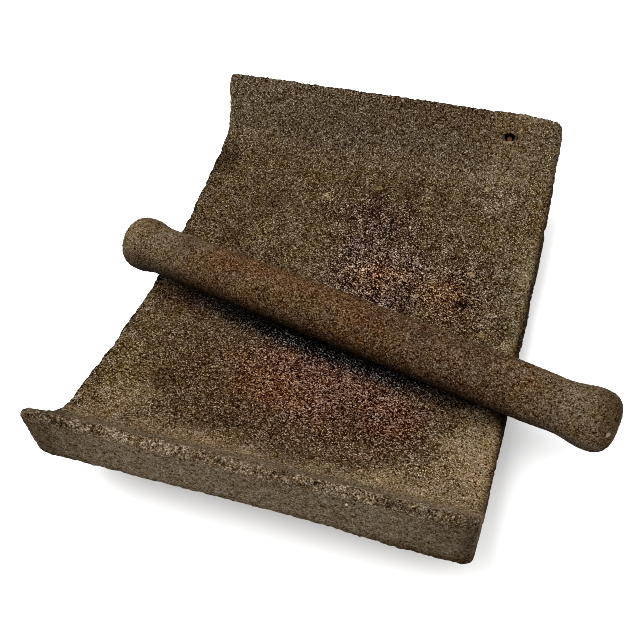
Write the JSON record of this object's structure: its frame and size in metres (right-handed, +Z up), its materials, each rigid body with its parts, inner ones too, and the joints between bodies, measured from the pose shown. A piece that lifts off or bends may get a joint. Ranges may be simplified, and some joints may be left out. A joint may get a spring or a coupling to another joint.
{
  "type": "saddle quern",
  "caption": "Curved stone grinding slab with two turned-up lips, and a knobbed two-handed rubbing stone lying across it.",
  "frame": {"origin": "centre of the small worn flat on the slab's underside, which the quern stands on", "axes": "+Z up, +X across the slab along the handstone's long way, +Y from the near lip to the far lip"},
  "size_m": [0.4317, 0.4186, 0.1035],
  "materials": {
    "slab_stone": "coarse, pecked grey-brown volcanic stone with dark pits and rust stains",
    "handstone_stone": "the same stone, rubbed smooth by hands, stained rust-brown on top"
  },
  "bodies": {
    "root": {"quern_slab": "slab_stone", "handstone": "handstone_stone"}
  },
  "joints": []
}
